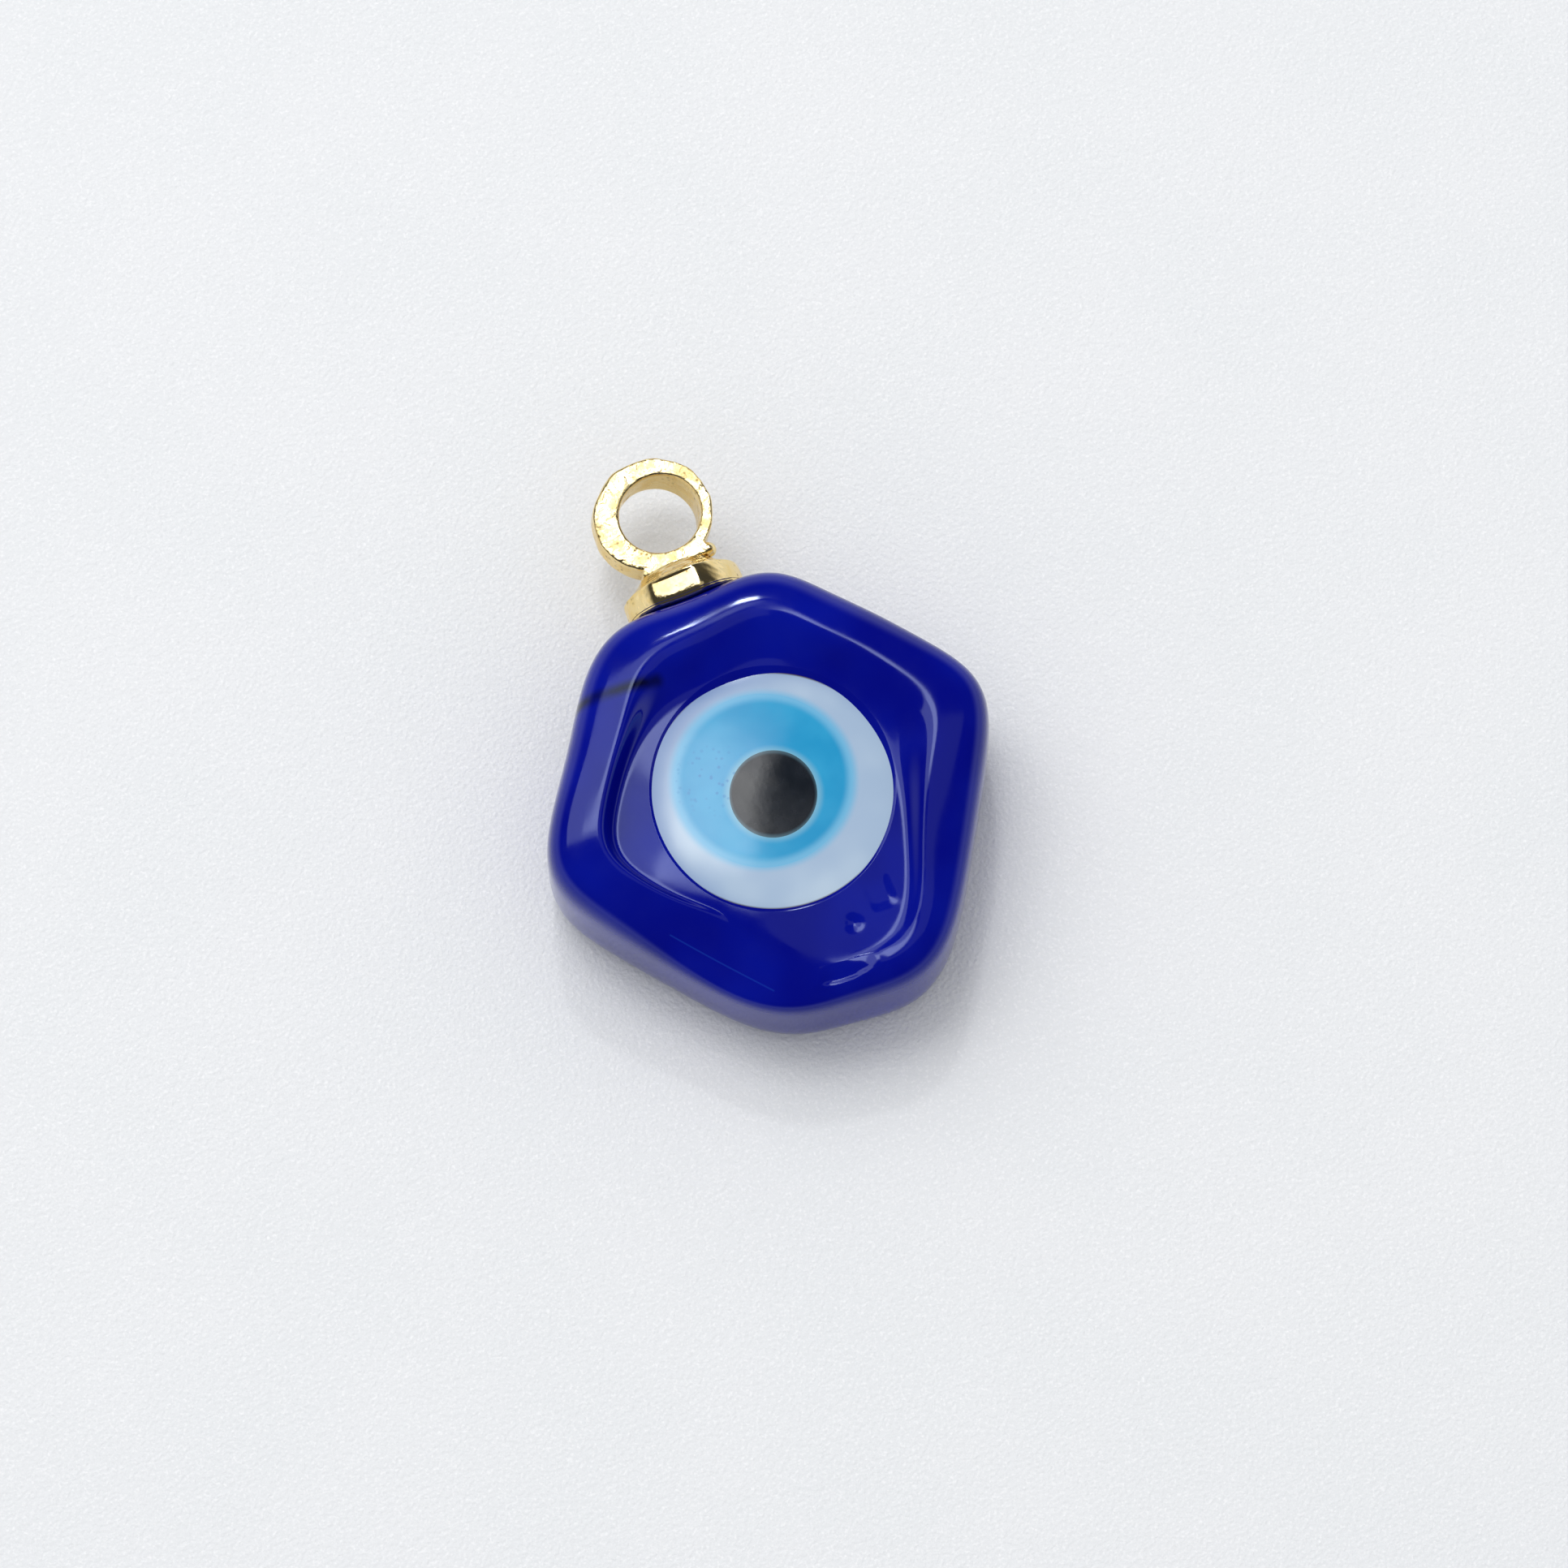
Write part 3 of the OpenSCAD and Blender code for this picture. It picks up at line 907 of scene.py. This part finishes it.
def gold(name, rough, spread, pit_cover, depth, deep=0.5):
    """Pale gold, deeper in the low grain, with painted shade of deeper gold on upright walls, dark pits and
    a cast relief.
    """
    made, tree, shader = material(name, Metallic=1.0)
    cloud = place(tree, GRAIN, Scale=2600.0, Detail=4.0, Low=0.4, High=0.66)
    colour = mix(tree, math_node(tree, "MULTIPLY", cloud, deep), PALE_GOLD, DEEP_GOLD)
    steep = add(tree, "Attribute", {"attribute_name": "steep"}).outputs["Fac"]
    # Painted shade: upright walls, marked by the attribute steep, are mixed towards deeper gold.
    colour = mix(tree, math_node(tree, "MULTIPLY", steep, 0.7), colour, DEEP_GOLD)
    holes = place(tree, PITS, Scale=9000.0, Size=0.45, Cover=pit_cover)
    where = place(tree, GRAIN, Scale=1300.0, Detail=2.0, Low=0.5, High=0.6)
    shown = math_node(tree, "MULTIPLY", math_node(tree, "MULTIPLY", holes, where), 0.8)
    colour = mix(tree, shown, colour, (0.26, 0.17, 0.05))
    fill(tree, shader.inputs["Base Color"], colour)
    fill(tree, shader.inputs["Roughness"], math_node(tree, "MULTIPLY_ADD", cloud, spread, rough))
    fill(tree, shader.inputs["Normal"], place(tree, RELIEF, Scale=9000.0, Depth=depth))
    return made


finish_with(ring, gold("gold_cast", 0.14, 0.2, 0.5, 1.6e-5))
finish_with(cup, gold("gold_turned", 0.06, 0.14, 0.3, 4e-6))
finish_with(braze, gold("gold_braze", 0.14, 0.2, 0.2, 1e-5, 0.8))
finish_with(nub, gold("gold_bead", 0.1, 0.1, 0.1, 6e-6, 1.0))
finish_with(frame["nodes"]["bail_peg"], gold("gold_peg", 0.2, 0.2, 0.2, 8e-6))

# %% Cured epoxy, seen only in the gap under the cup
def epoxy():
    made, tree, shader = material("cured_epoxy", IOR=1.55)
    cloud = place(tree, GRAIN, Scale=1500.0, Low=0.35, High=0.7)
    fill(tree, shader.inputs["Base Color"], mix(tree, cloud, (0.16, 0.13, 0.08), (0.30, 0.25, 0.16)))
    satin(tree, shader, 0.2, 0.2, 3e-6)
    return made


finish_with(frame["nodes"]["glue_bond"], epoxy())

# %% [markdown]
# ## Floor, light and camera
#
# The charm lies on a pale sheet with a faint tooth. Polished glass shows its lights as shapes, so
# they are set out from the line that a level surface mirrors to the camera. A broad panel with a
# brighter one in it stands to the left and gives the lilac sheen; a small lamp above gives the one
# white glint; a weak panel on the right lifts the far rim. The key box lights the sheet and isn't
# mirrored, and in reflections the room is dark overhead, which keeps the rim deep blue.

# %% Floor
def sheet_paper():
    made, tree, shader = material("pale_sheet", IOR=1.45)
    cloud = place(tree, GRAIN, Scale=180.0, Detail=3.0, Low=0.3, High=0.7)
    grain = place(tree, GRAIN, Scale=14000.0, Detail=2.0, Low=0.5, High=0.75)
    colour = mix(tree, cloud, (0.745, 0.76, 0.775), (0.76, 0.77, 0.785))
    colour = mix(tree, math_node(tree, "MULTIPLY", grain, 0.5), colour, (0.90, 0.90, 0.91))
    fill(tree, shader.inputs["Base Color"], colour)
    fill(tree, shader.inputs["Roughness"], math_node(tree, "MULTIPLY_ADD", grain, -0.15, 0.55))
    fill(tree, shader.inputs["Normal"], place(tree, RELIEF, Scale=9000.0, Depth=3e-5))
    return made


FLOOR_HALF = 1.5
corners = [(-FLOOR_HALF, -FLOOR_HALF), (FLOOR_HALF, -FLOOR_HALF), (FLOOR_HALF, FLOOR_HALF),
           (-FLOOR_HALF, FLOOR_HALF)]
floor_mesh = bpy.data.meshes.new("floor")
floor_mesh.from_pydata([(x, y, -2e-5) for x, y in corners], [], [(0, 1, 2, 3)])
floor = bpy.data.objects.new("floor", floor_mesh)
bpy.context.scene.collection.objects.link(floor)
finish_with(floor, sheet_paper())
floor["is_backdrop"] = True

# %% Camera
AZIMUTH, ELEVATION = math.radians(-21.5), math.radians(73)
FRAME_WIDTH = 0.03864
LENS, SENSOR = 150.0, 36.0
back = Vector((math.sin(AZIMUTH) * math.cos(ELEVATION), -math.cos(AZIMUTH) * math.cos(ELEVATION),
               math.sin(ELEVATION)))
right = Vector((math.cos(AZIMUTH), math.sin(AZIMUTH), 0))
ahead = Vector((-math.sin(AZIMUTH), math.cos(AZIMUTH), 0))
target = right * 0.00036 + ahead * 0.0005 + Vector((0, 0, bail_z * MM))
camera_data = bpy.data.cameras.new("camera")
camera_data.lens, camera_data.sensor_width = LENS, SENSOR
camera_data.clip_start, camera_data.clip_end = 0.001, 10
camera = bpy.data.objects.new("camera", camera_data)
bpy.context.scene.collection.objects.link(camera)
camera.location = target + back * (FRAME_WIDTH * LENS / SENSOR)
camera.rotation_mode = "QUATERNION"
camera.rotation_quaternion = (-back).to_track_quat("-Z", "Y")
bpy.context.scene.camera = camera


# %% Lights
mirror = 2 * back.z * Vector((0, 0, 1)) - back
mirror_up = mirror.cross(right)


def panel(name, side, rise, width, height, radiance, distance=0.5):
    """A panel placed by how far, as tangents, it stands right of and above the level glass's mirror line.

    Width and height are tangents too; power = radiance x pi x area.
    """
    data = bpy.data.lights.new(name, "AREA")
    data.shape = "RECTANGLE"
    data.size, data.size_y = width * distance, height * distance
    data.energy = radiance * math.pi * data.size * data.size_y
    lamp = bpy.data.objects.new(name, data)
    axis = (mirror + right * side + mirror_up * rise).normalized()
    across = (right - axis * right.dot(axis)).normalized()
    lamp.location = axis * distance
    lamp.rotation_mode = "QUATERNION"
    lamp.rotation_quaternion = Matrix((across, axis.cross(across), axis)).transposed().to_quaternion()
    bpy.context.scene.collection.objects.link(lamp)
    return lamp


panel("broad_panel", -0.27, 0.02, 0.52, 0.38, 2.0)
panel("bright_panel", -0.12, -0.02, 0.16, 0.24, 3.8, 0.49)
panel("glint_lamp", -0.078, 0.34, 0.07, 0.05, 70.0, 0.48)
panel("right_panel", 0.235, -0.2, 0.47, 0.36, 0.35)
key = panel("key_box", -0.45, 0.15, 0.9, 0.9, 1.45, 0.52)
key.visible_glossy = False

world = bpy.data.worlds.new("room")
bpy.context.scene.world = world
world.use_nodes = True
room = world.node_tree
room.nodes.clear()
ray = add(room, "LightPath")
height_in_room = add(room, "SeparateXYZ", Vector=add(room, "TexCoord").outputs["Generated"]).outputs[2]
low_wall = add(room, "MapRange", {"interpolation_type": "SMOOTHSTEP"}, Value=height_in_room,
               From_Min=0.6, From_Max=0.1)
mirrored = mix(room, low_wall.outputs["Result"], (0.05, 0.05, 0.055), (0.9, 0.9, 0.92))
tone = mix(room, ray.outputs["Is Diffuse Ray"], mirrored, (0.66, 0.665, 0.675))
tone = mix(room, ray.outputs["Is Camera Ray"], tone, (0.80, 0.82, 0.84))
room_end = room.nodes.new("ShaderNodeOutputWorld")
room.links.new(add(room, "Background", Color=tone).outputs[0], room_end.inputs[0])
bpy.context.scene.view_settings.view_transform = "Standard"

# %% [markdown]
# ## Measure and finish
#
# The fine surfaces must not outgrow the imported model, so both boxes are written down.

# %% Sizes and finish
visual_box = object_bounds()
for name, (low, high) in (("packed", cad_box), ("visual", visual_box)):
    print(name, "box in mm:", [round((b - a) / MM, 3) for a, b in zip(low, high)])
